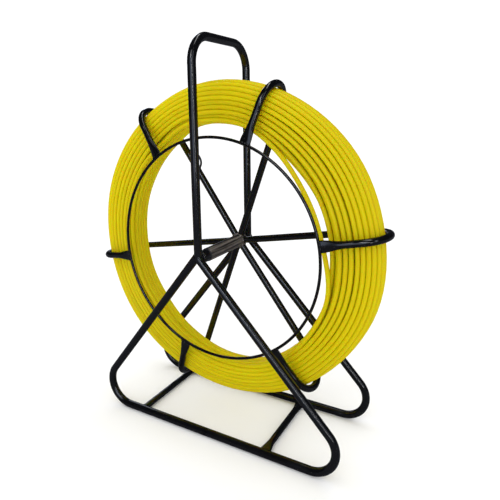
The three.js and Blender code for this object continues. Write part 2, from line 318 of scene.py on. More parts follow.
def swept(line, radius, sides=24, closed=False, across=None, over=None):
    """A tube along a line. across and over scale its section along the frame's two sides, per point."""
    line = np.asarray(line, float)
    _, side, up = travel_frames(line, closed)
    radius = np.broadcast_to(radius, len(line))
    across = np.ones(len(line)) if across is None else across
    over = np.ones(len(line)) if over is None else over
    angles = np.arange(sides) * TAU / sides
    ring = (
        side[:, None, :] * (np.cos(angles)[None, :, None] * (radius * across)[:, None, None])
        + up[:, None, :] * (np.sin(angles)[None, :, None] * (radius * over)[:, None, None])
    )
    points = (line[:, None, :] + ring).reshape(-1, 3)
    faces = grid_faces(len(line), sides, closed)
    if not closed:
        faces.append(tuple(range(sides))[::-1])
        faces.append(tuple(range(len(points) - sides, len(points))))
    return points, faces


def joined(*solids):
    """Puts several (points, faces) into one."""
    points, faces = [], []
    for p, f in solids:
        base = sum(len(x) for x in points)
        points.append(np.asarray(p))
        faces += [tuple(i + base for i in face) for face in f]
    return np.vstack(points), faces


def turned(outline, segments=48, closed=True):
    """Turns an outline of (radius, y) about the axle. It closes on itself, or on the axis."""
    points = []
    for k in range(segments):
        a = k * TAU / segments
        points += [(r * math.cos(a), y, AXLE.z + r * math.sin(a)) for r, y in outline]
    count = len(outline)
    faces = []
    for k in range(segments):
        a, b = k * count, ((k + 1) % segments) * count
        for j in range(count if closed else count - 1):
            i = (j + 1) % count
            faces.append((a + j, a + i, b + i, b + j))
    return np.array(points), faces


def rounded(outline, size, steps=3, closed=True):
    """Cuts each corner of an outline to a small round."""
    result = []
    count = len(outline)
    for i, corner in enumerate(outline):
        if not closed and i in (0, count - 1):
            result.append(corner)
            continue
        c = np.array(corner)
        before, after = np.array(outline[i - 1]), np.array(outline[(i + 1) % count])
        reach = min(size, np.linalg.norm(before - c) / 2.2, np.linalg.norm(after - c) / 2.2)
        a, b = c + unit(before - c) * reach, c + unit(after - c) * reach
        for k in range(steps + 1):
            t = k / steps
            result.append(tuple((1 - t) ** 2 * a + 2 * t * (1 - t) * c + t * t * b))
    return result


def sleeve(bore, radius, front, rear, edge, segments):
    """A length of tube round the axle, with rounded edges."""
    outline = [(bore, front), (radius, front), (radius, rear), (bore, rear)]
    return turned(rounded(outline, edge), segments)


def round_angles(count):
    """Angles evenly spread over a full turn."""
    return [k * TAU / count for k in range(count)]


def bent(corners, radii, step=math.radians(3)):
    """Straight runs between corners, with an arc of the given radius at each inner one."""
    corners = [np.asarray(c, float) for c in corners]
    points = [corners[0]]
    for i, radius in enumerate(radii, 1):
        into, out = unit(corners[i] - corners[i - 1]), unit(corners[i + 1] - corners[i])
        turn = math.acos(np.clip(np.dot(into, out), -1, 1))
        start = corners[i] - into * radius * math.tan(turn / 2)
        side = unit(out - into * math.cos(turn))
        for k in range(int(turn / step) + 2):
            a = turn * k / (int(turn / step) + 1)
            points.append(start + into * radius * math.sin(a) + side * radius * (1 - math.cos(a)))
    points.append(corners[-1])
    return np.array(points)


def filled(line, spacing=6 * MM):
    """Adds points so that no run between two is longer than spacing."""
    out = [line[0]]
    for a, b in zip(line, line[1:]):
        count = max(1, math.ceil(np.linalg.norm(b - a) / spacing))
        out += [a + (b - a) * k / count for k in range(1, count + 1)]
    return np.array(out)


def smooth_step(value, low, high):
    """Goes smoothly from 0 at low to 1 at high."""
    t = np.clip((value - low) / (high - low), 0, 1)
    return t * t * (3 - 2 * t)


def distance_along(line):
    """How far along a line each of its points is."""
    return np.concatenate([[0], np.cumsum(np.linalg.norm(np.diff(line, axis=0), axis=1))])


BEAD_PITCH = 1.6 * MM
BEAD_SPACING = 0.35 * MM
BEAD_SIDES = 12
BEAD_UNEVENNESS = 0.05
BEAD_RIPPLE = 0.09
BEAD_START = 0.35  # how thick an open bead's ends are


def bead(line, radius, seed, closed=True):
    """A weld bead along a line: overlapping ripples, a little uneven, under the coat of paint."""
    line = np.asarray(line, float)
    if closed:
        line = np.vstack([line, line[:1]])
    fine = filled(line, BEAD_SPACING)
    if closed:
        fine = fine[:-1]
    gone = distance_along(fine)
    rng = np.random.default_rng(seed)
    size = np.ones(len(fine))
    for wave in range(1, 5):
        size += BEAD_UNEVENNESS * np.sin(TAU * wave * gone / max(gone[-1], 1e-6) + rng.uniform(0, TAU))
    size *= 1 + BEAD_RIPPLE * np.abs(np.sin(math.pi * gone / BEAD_PITCH))
    if not closed:
        from_end = np.minimum(gone, gone[-1] - gone)
        size *= BEAD_START + (1 - BEAD_START) * np.minimum(1, from_end / (2 * radius))
    return swept(fine, radius * size, BEAD_SIDES, closed)


# ---------------------------------------------------------------- wound rod
ROD = 6 * MM
ROD_SIDES = 12
STEPS = 96  # points to a turn
FERRULE_LENGTH = 30 * MM
FERRULE_RADIUS = 4 * MM
INNER_FERRULE_ANGLE = 356
INNER_FERRULE_PLACE = (COIL_INNER - GAP - FERRULE_RADIUS, 22 * MM)  # radius and y
LEADING_FERRULE_ANGLE = 160
LEADING_FERRULE_PLACE = (190 * MM, COIL_Y + COIL_HALF_WIDTH + GAP + FERRULE_RADIUS)
ROD_END = 0.4  # degrees from a ferrule's middle to the rod's end in its socket
GRIPPED = 7  # degrees each way from a ferrule's middle where the rod follows it
RELEASED = 26  # degrees each way from there where nothing holds it any more
STRAIGHT = 9  # degrees each way that a held end runs straight
START_ANGLE = INNER_FERRULE_ANGLE - ROD_END
END_ANGLE = LEADING_FERRULE_ANGLE + ROD_END
TURNS = 52 + (END_ANGLE + 360 - START_ANGLE) / 360

# The bundle's section: a superellipse of strands in layers
BUNDLE_POWER = 2.7
CORNER_POWER = 8  # at the front corner near the ring, which is squarer
BUNDLE_DEPTH = COIL_HALF_WIDTH - ROD / 2  # from its middle to the outermost strands, along Y
NEAT_INNER = 158 * MM
NEAT_OUTER = 206.6 * MM
LAYER = 5.4 * MM
PITCH = 5.25 * MM  # between neighbours in a layer, before they are pushed apart
PRESSED = 5.72 * MM  # how close strands may lie
LAYERS = 3
LAYER_TURNS = 3.2
LAYER_ANGLE = 72  # where in the section the outermost strand lies, in degrees
LAYER_CHANGE = (0.86, 1.02)  # over which part of its round a layer steps in to the next
LEAN_Y = (12 * MM, 20 * MM)  # over which the inner side goes from its front radius to its rear one

# How the winding strays from a neat one
SLACKS = ((11.6, 2.3), (13.9, 1.9), (16.4, 1.2), (20.2, 1.6), (23.4, 1.2), (4.6, 1.0))  # turns from end, mm
SLACK_RUN = 0.12  # turns over which such a gap opens, each way
DRIFT = 3 * MM
DRIFT_ANGLE = 30
SIDEWAYS_STRAY = 0.5 * MM
SIDEWAYS_WAVE = 0.21  # in turns
STRAY = 0.8 * MM
STRAY_WAVE = 0.37

# One turn that runs loose inside the bundle, over the opening in the cage
LOOSE_ANGLE = 24
LOOSE_CORNER = (156 * MM, -9 * MM)  # radius and y of the bundle's corner that it comes from
LOOSE_RISE = (-44, -10)  # degrees round the reel, from where it is furthest
LOOSE_FALL = (2, 50)
LOOSE_HELD = (64, 110)  # degrees away where it starts to join the others, and has joined them
LOOSE_REACH = 120
LOOSE_RADIUS = (1.5, 9)  # mm outside the inner limit where it isn't lifted, and what lift takes off
LOOSE_Y = (8.5, 6.1)  # mm in front of the axle's middle where it isn't lifted, and what lift adds

# How hard the strands settle
PASSES = 150
LAST_PASSES = 20  # without evening out
EVEN_OVER = 9  # points
EVEN_RATE = 0.25
PUSH_RATE = 0.42
CALMING_PASSES = 4  # of the finished line
TINT_WAVE = 23  # points


def over_angle(degrees, *stops):
    """A value that changes smoothly round the reel, through (angle, value) stops."""
    angles = [a for a, _ in stops]
    values = [v for _, v in stops]
    angles = [angles[-1] - 360, *angles, angles[0] + 360]
    values = [values[-1], *values, values[0]]
    d = np.mod(np.asarray(degrees, float) - angles[1], 360) + angles[1]
    i = np.clip(np.searchsorted(angles, d, side="right") - 1, 0, len(angles) - 2)
    a, b = np.array(angles)[i], np.array(angles)[i + 1]
    t = np.clip((d - a) / (b - a), 0, 1)
    t = t * t * (3 - 2 * t)
    return np.array(values)[i] * (1 - t) + np.array(values)[i + 1] * t


def bundle_limits(degrees):
    """Inner and outer radius of the strands' middles, and how much more the inner one is at the rear."""
    inner = over_angle(
        degrees,
        (0, 150), (45, 150.8), (60, 154), (80, 163), (90, 163.5), (108, 166.5), (125, 158.5),
        (150, 155.5), (180, 154.8), (205, 157), (220, 156), (235, 160.5), (270, 166), (292, 166),
        (312, 160.5), (325, 156), (342, 154), (350, 151.5),
    )
    outer = over_angle(
        degrees,
        (9.8, 206.6), (40, 209.8), (60, 210.2), (71, 211.2), (90, 212.3), (102, 212), (112, 209.8),
        (125.5, 208.8), (160, 209.6), (190, 207.6), (220, 208.4), (250, 205.6), (285, 205.6),
        (300, 206.6), (314, 204.8), (325, 205.6), (345, 207.8),
    )
    lean = over_angle(
        degrees,
        (14, 1.5), (80, 0), (220, 0), (250, 2.5), (290, 2.5), (320, 0), (338, 6), (350, 8.5), (362, 8.5),
    )
    return inner * MM, outer * MM, lean * MM


def section_power(across, along):
    """How square the section is: most so at its front corner near the ring."""
    return np.where((across < 0) & (along < 0), CORNER_POWER, BUNDLE_POWER)


def section_spiral():
    """The order of the strands in a neat bundle's section, as a line of points (radius, y)."""
    middle, half = (NEAT_INNER + NEAT_OUTER) / 2, (NEAT_OUTER - NEAT_INNER) / 2
    angle = np.linspace(0, -TAU * LAYER_TURNS, 4000) + math.radians(LAYER_ANGLE)
    rounds = -(angle - angle[0]) / TAU
    start, end = LAYER_CHANGE
    depth = LAYER * sum(smooth_step(rounds, k + start, k + end) for k in range(LAYERS))
    power = section_power(np.cos(angle), np.sin(angle))

    def bulge(v):
        return np.sign(v) * np.abs(v) ** (2 / power)

    r = middle + (half - depth) * bulge(np.cos(angle))
    y = COIL_Y + (BUNDLE_DEPTH - depth) * bulge(np.sin(angle))
    return np.stack([r, y], 1)


def smooth_noise(rng, count, spacing):
    """A random wavy line of count values, with about spacing of them to a wave."""
    knots = rng.normal(size=int(count / spacing) + 4)
    x = np.arange(count) / spacing
    i = x.astype(int)
    t = x - i
    t = t * t * (3 - 2 * t)
    return knots[i] * (1 - t) + knots[i + 1] * t


def strayed_winding(degrees):
    """The (radius, y) of each point in a bundle of even section, with real winding's gaps and waves."""
    rng = np.random.default_rng(11)
    left = TURNS - (degrees - START_ANGLE) / 360
    from_end = PITCH * left
    for turn, slack in SLACKS:
        from_end += slack * MM * smooth_step(left, turn - SLACK_RUN, turn + SLACK_RUN)
    from_end -= DRIFT * np.sin(np.radians(degrees + DRIFT_ANGLE)) * smooth_step(left, 0, 2)
    from_end += SIDEWAYS_STRAY * smooth_noise(rng, len(degrees), STEPS * SIDEWAYS_WAVE)
    spiral = section_spiral()
    gone = distance_along(spiral)
    p = np.stack([np.interp(from_end, gone, spiral[:, i]) for i in (0, 1)], 1)
    return p + STRAY * np.stack([smooth_noise(rng, len(degrees), STEPS * STRAY_WAVE) for _ in (0, 1)], 1)


def held_points(p, degrees, count, inner):
    """Where the ferrules and the loose turn want points to be, and how firmly (0 to 1)."""
    target, held = p.copy(), np.zeros(len(p))
    ends = (
        (INNER_FERRULE_PLACE, degrees - INNER_FERRULE_ANGLE),
        (LEADING_FERRULE_PLACE, degrees[count - 1] - ROD_END - degrees),
    )
    for (radius, y), ahead in ends:
        grip = smooth_step(-np.abs(ahead), -RELEASED, -GRIPPED)
        straight = radius / np.cos(np.radians(np.clip(ahead, -STRAIGHT, STRAIGHT)))
        target[:, 0] = np.where(grip > 0, straight, target[:, 0])
        target[:, 1] = np.where(grip > 0, y, target[:, 1])
        held = np.maximum(held, grip)

    turns = (degrees - START_ANGLE) / 360
    step = degrees[1] - degrees[0]
    crossing = np.abs(np.mod(degrees - LOOSE_ANGLE + 180, 360) - 180) < step / 2
    crossing &= (turns > 1) & (turns < TURNS - 1)
    from_corner = np.hypot(p[:, 0] - LOOSE_CORNER[0], p[:, 1] - LOOSE_CORNER[1])
    away = degrees - degrees[np.argmin(np.where(crossing, from_corner, 1))]
    lift = smooth_step(away, *LOOSE_RISE) * (1 - smooth_step(away, *LOOSE_FALL))
    near = np.abs(away) < LOOSE_REACH
    outside, inwards = LOOSE_RADIUS
    in_front, forwards = LOOSE_Y
    target[:, 0] = np.where(near, inner + (outside - inwards * lift) * MM, target[:, 0])
    target[:, 1] = np.where(near, (-in_front - forwards * lift) * MM, target[:, 1])
    held = np.maximum(held, 1 - smooth_step(np.abs(away), *LOOSE_HELD))
    return target, held


def evened(p, middle, half):
    """Points moved towards the mean of their neighbours along the rod, as shares of the bundle's width."""
    share = np.stack([(p[:, 0] - middle) / half, p[:, 1]], 1)
    reach = EVEN_OVER // 2
    padded = np.pad(share, ((reach, reach), (0, 0)), mode="edge")
    kernel = np.ones(EVEN_OVER) / EVEN_OVER
    even = np.stack([np.convolve(padded[:, i], kernel, "valid") for i in (0, 1)], 1)
    share += (even - share) * EVEN_RATE
    return np.stack([middle + share[:, 0] * half, share[:, 1]], 1)


def pushed_apart(p, valid):
    """Points moved away from any other turn's point nearer than PRESSED, where both are at one angle."""
    grid = p.reshape(*valid.shape, 2)
    apart = grid[:, None] - grid[None]
    tiny = 1e-9
    distance = np.sqrt((apart**2).sum(-1)) + tiny
    touching = valid[:, None] & valid[None] & (distance < PRESSED) & (distance > 10 * tiny)
    overlap = np.where(touching, PRESSED - distance, 0)
    return p + ((apart / distance[..., None]) * (overlap * PUSH_RATE)[..., None]).sum(1).reshape(-1, 2)


def kept_within(p, inner, outer, lean):
    """Points outside the bundle's section moved onto its edge."""
    edge = inner + lean * smooth_step(p[:, 1], *LEAN_Y)
    middle, half = (edge + outer) / 2, (outer - edge) / 2
    across, along = (p[:, 0] - middle) / half, (p[:, 1] - COIL_Y) / BUNDLE_DEPTH
    power = section_power(across, along)
    out = (np.abs(across) ** power + np.abs(along) ** power) ** (1 / power)
    shrink = 1 / np.maximum(out, 1)
    return np.stack([middle + (p[:, 0] - middle) * shrink, COIL_Y + (p[:, 1] - COIL_Y) * shrink], 1)


def wind_rod():
    """The rod's middle line, from the inner ferrule to the leading one."""
    count = int(TURNS * STEPS) + 1
    rows = math.ceil(count / STEPS)
    degrees = START_ANGLE + 360 * TURNS / (count - 1) * np.arange(rows * STEPS)
    inner, outer, lean = bundle_limits(degrees)
    middle, half = (inner + outer) / 2, (outer - inner) / 2
    p = strayed_winding(degrees)
    p[:, 0] = middle + (p[:, 0] - (NEAT_INNER + NEAT_OUTER) / 2) * half / ((NEAT_OUTER - NEAT_INNER) / 2)
    target, held = held_points(p, degrees, count, inner)

    valid = (np.arange(rows * STEPS) < count).reshape(rows, STEPS)
    for settling in range(PASSES):
        if settling < PASSES - LAST_PASSES:
            p[:count] = evened(p[:count], middle[:count], half[:count])
        p = kept_within(pushed_apart(p, valid), inner, outer, lean)
        p += (target - p) * held[:, None]
    p, around = p[:count], np.radians(degrees[:count])
    for _ in range(CALMING_PASSES):
        p[1:-1] = p[1:-1] * 0.5 + (p[:-2] + p[2:]) * 0.25
    return np.stack([p[:, 0] * np.cos(around), p[:, 1], AXLE.z + p[:, 0] * np.sin(around)], 1)


def make_rod(material):
    """The wound rod and its line. Its points carry the place along the rod and a tint, for its material."""
    line = wind_rod()
    rod = new_piece(
        "wound_rod", *swept(line, ROD / 2, ROD_SIDES), "reel", "rod_yellow", material, ["rod_coil"]
    )
    angles = np.arange(ROD_SIDES) * TAU / ROD_SIDES
    along = np.stack(
        [
            np.repeat(distance_along(line), ROD_SIDES),
            np.tile(np.cos(angles), len(line)),
            np.tile(np.sin(angles), len(line)),
        ],
        1,
    )
    tint = np.clip(0.5 + 0.28 * smooth_noise(np.random.default_rng(5), len(line), TINT_WAVE), 0, 1)
    tints = np.repeat(tint, ROD_SIDES)
    rod.data.attributes.new("along", "FLOAT_VECTOR", "POINT").data.foreach_set("vector", along.ravel())
    rod.data.attributes.new("tint", "FLOAT", "POINT").data.foreach_set("value", tints)
    return rod, line


# ---------------------------------------------------------------- ferrules
FERRULE_SEGMENTS = 48
CRIMP_DEPTH = 0.75  # of a full hexagon
NOSE_CORE = 2.1  # this and the thread are in mm, as the outline is
NOSE_CREST = 2.5
THREAD_START = 23.0
THREAD_END = 28.9
THREAD_PITCH = 0.75


def ferrule_outline():
    """Corners of (radius, height, crimped) in mm: socket, crimped sleeve, groove, shoulder and nose."""
    corners = [
        (0, 17, 0), (3.2, 17, 0), (3.2, 0.5, 0), (3.5, 0, 0), (3.75, 0, 0), (4, 0.3, 0),
        (4, 1.8, 0), (3.98, 2.3, 1), (3.98, 6.6, 1), (4, 7.1, 0),
        (4, 8.6, 0), (3.98, 9.1, 1), (3.98, 13.4, 1), (4, 13.9, 0),
        (4, 15.3, 0), (3.4, 15.6, 0), (3.4, 16.5, 0), (4, 16.8, 0),
        (4, 21, 0), (3, 22, 0), (NOSE_CORE, 22.1, 0), (NOSE_CORE, 22.9, 0),
    ]
    z = THREAD_START
    while z < THREAD_END:
        corners += [(NOSE_CORE, z, 0), (NOSE_CREST, z + 0.32, 0)]
        corners += [(NOSE_CREST, z + 0.4, 0), (NOSE_CORE, z + 0.72, 0)]
        z += THREAD_PITCH
    return corners + [(2.0, 29.3, 0), (1.7, 30, 0), (0, 30, 0)]


def ferrule_solid():
    """A brass end fitting along +Z from its mouth."""
    outline = ferrule_outline()
    points = []
    for a in round_angles(FERRULE_SEGMENTS):
        flat = math.cos(math.pi / 6) / math.cos((a % (TAU / 6)) - math.pi / 6)
        for r, height, crimped in outline:
            radius = r * (1 - crimped * (1 - flat) * CRIMP_DEPTH) * MM
            points.append((radius * math.cos(a), radius * math.sin(a), height * MM))
    count = len(outline)
    faces = []
    for k in range(FERRULE_SEGMENTS):
        a, b = k * count, ((k + 1) % FERRULE_SEGMENTS) * count
        for j in range(count - 1):
            faces.append((a + j, b + j, b + j + 1, a + j + 1))
    return np.array(points), faces


def make_ferrule(name, angle, place, sense, material, replaced):
    """A ferrule at an angle of the reel. Its nose points on round the reel if sense is 1, back if -1."""
    points, faces = ferrule_solid()
    radius, y = place
    a = math.radians(angle)
    out, ahead = Vector((math.cos(a), 0, math.sin(a))), Vector((-math.sin(a), 0, math.cos(a)))
    axis = ahead * sense
    start = AXLE + out * radius + Vector((0, y, 0)) - axis * FERRULE_LENGTH / 2
    side = out.cross(axis)
    made = [start + out * x + side * y + axis * z for x, y, z in points]
    piece = new_piece(name, made, faces, "reel", "ferrule_brass", material, [replaced])
    return sharpen(piece, 35)


# ---------------------------------------------------------------- stand
LEG_BURIED = 6 * MM  # how far the left leg's end runs on into the knee, under the weld
KNEE_BEAD = 0.62 * MM
KNEE_BEAD_SUNK = 0.72 * MM  # below the tube's surface
KNEE_BEAD_BACK = 2.6  # mm from the leg's end, where the ring is furthest back
KNEE_BEAD_SADDLE = 3.4  # mm along the leg from there to where it is nearest
CROSSBAR_SUNK = 1.2 * MM
CROSSBAR_END = 26 * MM  # the part of each end with points close together
FLARE_START = 21 * MM  # from the end
FLARE_FULL = 1 * MM
CROSSBAR_BEAD = 1.05 * MM
CROSSBAR_BEAD_OUT = 0.2 * MM
CROSSBAR_BEAD_SQUEEZE = 0.86  # of the bar's height, so that the bead stays above the floor
HANDLE_BEAD = 0.35 * MM
HANDLE_BEAD_SUNK = 0.42 * MM


def frame_lines(side):
    """The middle lines of one side frame's two tubes: handle to floor bar, and the left leg."""
    y = side * FRAME_Y
    main = bent(
        [
            (0, side * HANDLE_GAP, HANDLE_Z),
            (0, y, HANDLE_Z),
            (0, y, AXLE.z),
            (RIGHT_REACH, y, FLOOR_BAR_Z),
            (0, y, FLOOR_BAR_Z),
        ],
        [HANDLE_BEND, KNEE_BEND, FOOT_BEND],
    )
    leg = bent(
        [
            (FLOOR_BAR_OVERLAP, y, FLOOR_BAR_Z),
            (-LEFT_REACH, y, FLOOR_BAR_Z),
            (-LEFT_LEG_OFFSET, y, AXLE.z - LEFT_LEG_DROP),
        ],
        [FOOT_BEND],
    )
    return filled(main), filled(leg)


def make_frame(name, side, material):
    main, leg = frame_lines(side)
    rise = unit(leg[-1] - leg[-2])
    buried = np.vstack([leg, leg[-1] + rise * LEG_BURIED])
    tubes = joined(*[swept(line, FRAME_TUBE / 2, TUBE_SIDES) for line in (main, buried)])
    piece = new_piece(name + "_tube", *tubes, "stand", "frame_black", material, [name])
    sharpen(piece, 50)
    across = np.array((0, 1.0, 0))
    over = np.cross(rise, across)
    ring = []
    for a in round_angles(56):
        out = across * math.cos(a) + over * math.sin(a)
        back = (KNEE_BEAD_BACK - KNEE_BEAD_SADDLE * math.cos(a) ** 2) * MM
        ring.append(leg[-1] - rise * back + out * (FRAME_TUBE / 2 - KNEE_BEAD_SUNK))
    knee = bead(ring, KNEE_BEAD, 21 + side)
    new_piece(name + "_knee_weld", *knee, "stand", "frame_black", material)


def make_crossbar(name, x, flared, material):
    """A straight tube between the floor bars, with a weld at each end. Flared ends are flat and wide."""
    half = INNER_FACE + CROSSBAR_SUNK
    rear_end = np.linspace(half - CROSSBAR_END, half, 27)
    ys = np.concatenate([-rear_end[::-1], rear_end])
    line = np.stack([np.full(len(ys), x), ys, np.full(len(ys), FLOOR_BAR_Z)], 1)
    if flared:
        share = smooth_step(np.abs(ys), half - FLARE_START, half - FLARE_FULL)
        width, thickness = FLARE_WIDTH, FLARE_THICKNESS
    else:
        share = np.zeros(len(ys))
        width, thickness = CROSSBAR_TUBE, CROSSBAR_TUBE
    wide = 1 + share * (width / CROSSBAR_TUBE - 1)
    thick = 1 + share * (thickness / CROSSBAR_TUBE - 1)
    tube = swept(line, CROSSBAR_TUBE / 2, TUBE_SIDES, False, wide, thick)
    piece = new_piece(name + "_tube", *tube, "stand", "frame_black", material, [name])
    sharpen(piece, 50)
    beads = []
    for side in (-1, 1):
        ring = []
        for a in round_angles(48):
            dx, dz = width / 2 * math.cos(a), thickness / 2 * math.sin(a)
            y = FRAME_Y - math.sqrt((FRAME_TUBE / 2) ** 2 - dz * dz) - CROSSBAR_BEAD_OUT
            ring.append((x + dx, side * y, FLOOR_BAR_Z + dz * CROSSBAR_BEAD_SQUEEZE))
        beads.append(bead(ring, CROSSBAR_BEAD, int(x * 1000) + side + 500))
    new_piece(name + "_welds", *joined(*beads), "stand", "frame_black", material)


def make_handle_seam(material):
    radius = FRAME_TUBE / 2 - HANDLE_BEAD_SUNK
    ring = [(radius * math.cos(a), 0, HANDLE_Z + radius * math.sin(a)) for a in round_angles(48)]
    new_piece("handle_seam", *bead(ring, HANDLE_BEAD, 77), "stand", "frame_black", material)


# ---------------------------------------------------------------- cage
CAGE_SIDES = 24
WIRE_SIDES = 16
HOOK_SPACING = 3 * MM
TIP_OVERLAP = 0.9 * MM  # how far a tip reaches over the ring's outer edge
LEG_Y = -12 * MM  # in front of this, a hook's line is its front leg
TIP_FADE = 3 * MM
TIP_NARROWING = 0.06  # of the width, at its very end
TIP_BEAD = 0.95 * MM
TIP_BEAD_APART = 1.7 * MM  # from the ring's middle, forwards and to the rear
TIP_BEAD_SHARE = 0.47  # of the tip's width, each way
GUIDE_SUNK = 0.6 * MM
GUIDE_FOOT = 1.9 * MM
GUIDE_BEAD = 0.8 * MM
SPOKE_BEAD = 1.3 * MM
SPOKE_BEAD_OUT = 0.5 * MM
COLLAR_BEAD = 1 * MM
COLLAR_BEAD_SHARE = 0.93  # of the collar's radius
COLLAR_BEAD_DEPTH = 1.6 * MM  # furthest from the frame's inner face, beside the tube


def placed(solid, angle):
    """A solid of a hook's own frame (out from the axle, along it, round it), turned into its place."""
    points, faces = solid
    a = math.radians(angle)
    matrix = np.array(((math.cos(a), 0, -math.sin(a)), (0, 1, 0), (math.sin(a), 0, math.cos(a))))
    return np.asarray(points) @ matrix.T + np.array(AXLE), faces


def hook_line(outer):
    """A hook's middle line in its own frame, from inside the hub to its tip, and the tip's radius."""
    bend, middle = (SPOKE_RIM_Y - HOOK_FRONT_Y) / 2, (SPOKE_RIM_Y + HOOK_FRONT_Y) / 2
    leg_start = outer - bend
    tip = RING_RADIUS + RING_WIRE / 2 - TIP_OVERLAP
    tip_y = RING_Y + (tip - RING_RADIUS) * (HOOK_FRONT_Y - RING_Y) / (leg_start - RING_RADIUS)
    points = [(SPOKE_START, SPOKE_HUB_Y, 0)]
    for k in range(37):
        a = math.pi * k / 36
        points.append((leg_start + bend * math.sin(a), middle + bend * math.cos(a), 0))
    points.append((tip, tip_y, 0))
    return filled(np.array(points), HOOK_SPACING), tip


def make_hook(index, angle, material):
    line, tip = hook_line(HOOK_OUTERS[index])
    front = line[:, 1] < LEG_Y
    flat = np.where(front, 1 - smooth_step(line[:, 0], tip + 1 * MM, tip + TIP_LENGTH + TIP_FADE), 0)
    end = np.where(front, 1 - smooth_step(line[:, 0], tip - 1 * MM, tip + TIP_FADE), 0)
    wide = 1 + flat * (TIP_WIDTH / CAGE_TUBE - 1) - TIP_NARROWING * end
    thick = 1 + flat * (TIP_THICKNESS / CAGE_TUBE - 1)
    tube = swept(line, CAGE_TUBE / 2, CAGE_SIDES, False, thick, wide)
    name = f"cage_hook_{index + 1}"
    piece = new_piece(name + "_tube", *placed(tube, angle), "reel", "cage_black", material, [name])
    sharpen(piece, 50)
    radius = RING_RADIUS + RING_WIRE / 2 - 0.1 * MM
    reach = TIP_WIDTH * TIP_BEAD_SHARE
    beads = []
    for i, offset in enumerate((-TIP_BEAD_APART, TIP_BEAD_APART)):
        arc = [(math.sqrt(radius**2 - z * z), RING_Y + offset, z) for z in np.linspace(-reach, reach, 15)]
        beads.append(bead(arc, TIP_BEAD, 300 + index * 2 + i, closed=False))
    weld = placed(joined(*beads), angle)
    new_piece(name + "_tip_weld", *weld, "reel", "cage_black", material)


def make_ring(material):
    angles = np.radians(np.arange(0, 360, 2))
    x, z = RING_RADIUS * np.cos(angles), AXLE.z + RING_RADIUS * np.sin(angles)
    line = np.stack([x, np.full(len(angles), RING_Y), z], 1)
    wire = swept(line, RING_WIRE / 2, WIRE_SIDES, closed=True)
    new_piece("front_ring_wire", *wire, "reel", "cage_black", material, ["front_ring"])


def make_guide(material):
    y = SPOKE_HUB_Y + (SPOKE_RIM_Y - SPOKE_HUB_Y) * GUIDE_SHARE
    base = -CAGE_TUBE / 2 + GUIDE_SUNK
    line = []
    for k in range(41):
        a = math.pi * k / 40
        line.append((GUIDE_RADIUS - GUIDE_HALF_LENGTH * math.cos(a), y, base - GUIDE_BULGE * math.sin(a)))
    solids = [swept(line, GUIDE_WIRE / 2, WIRE_SIDES)]
    for sign in (-1, 1):
        foot = []
        for a in round_angles(24):
            x = GUIDE_RADIUS + sign * GUIDE_HALF_LENGTH + GUIDE_FOOT * math.cos(a)
            dy = GUIDE_FOOT * math.sin(a)
            foot.append((x, y + dy, -math.sqrt((CAGE_TUBE / 2) ** 2 - dy * dy) + 0.1 * MM))
        solids.append(bead(foot, GUIDE_BEAD, 411 + sign))
    guide = placed(joined(*solids), HOOK_ANGLES[GUIDE_HOOK])
    new_piece("guide_loop_wire", *guide, "reel", "cage_black", material, ["guide_loop"])


def make_hub(material):
    tube = sleeve(HUB_BORE_RADIUS, HUB_RADIUS, HUB_FRONT, HUB_REAR, 0.5 * MM, 64)
    new_piece("hub", *tube, "reel", "hub_finish", material, ["hub_tube"])
    beads = []
    for i, angle in enumerate(HOOK_ANGLES):
        ring = []
        for a in round_angles(56):
            z = CAGE_TUBE / 2 * math.sin(a)
            out = math.sqrt(HUB_RADIUS**2 - z * z) + SPOKE_BEAD_OUT
            ring.append((out, SPOKE_HUB_Y + CAGE_TUBE / 2 * math.cos(a), z))
        beads.append(placed(bead(ring, SPOKE_BEAD, 600 + i), angle))
    new_piece("spoke_welds", *joined(*beads), "reel", "hub_finish", material)


def make_bush(name, hub_end, material):
    """A plain bearing pressed into one end of the hub tube, with a flange outside it."""
    out = math.copysign(1, hub_end)
    bore, body = AXLE_RADIUS + BUSH_CLEARANCE, HUB_BORE_RADIUS - GAP
    flange = HUB_RADIUS - BUSH_FLANGE_STEP
    inside, step = hub_end - out * BUSH_DEPTH, hub_end + out * GAP
    face = step + out * BUSH_FLANGE
    outline = [(bore, inside), (body, inside), (body, step), (flange, step), (flange, face), (bore, face)]
    outline = rounded(outline if out > 0 else outline[::-1], 0.4 * MM)
    new_piece(name + "_moulded", *turned(outline, 56), "reel", "bush_nylon", material, [name])


def make_collar(name, side, material):
    """A stop on the axle, welded to one side frame."""
    low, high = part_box(name)
    radius = (high.z - low.z) / 2
    collar = sleeve(AXLE_RADIUS + GAP, radius, low.y, high.y, 0.9 * MM, 56)
    new_piece(name + "_turned", *collar, "stand", "frame_black", material, [name])
    weld_radius = radius * COLLAR_BEAD_SHARE
    ring = []
    for a in round_angles(56):
        x, z = weld_radius * math.cos(a), AXLE.z + weld_radius * math.sin(a)
        depth = math.sqrt(max((FRAME_TUBE / 2) ** 2 - x * x, 0))
        ring.append((x, side * min(FRAME_Y - depth, INNER_FACE + COLLAR_BEAD_DEPTH), z))
    weld = bead(ring, COLLAR_BEAD, 801 + side)
    new_piece(name + "_weld", *weld, "stand", "frame_black", material)


def make_axle(material):
    half = INNER_FACE - GAP
    outline = [(0, -half), (AXLE_RADIUS, -half), (AXLE_RADIUS, half), (0, half)]
    axle = turned(rounded(outline, 0.6 * MM, closed=False), closed=False)
    new_piece("axle_rod", *axle, "stand", "axle_steel", material, ["axle"])


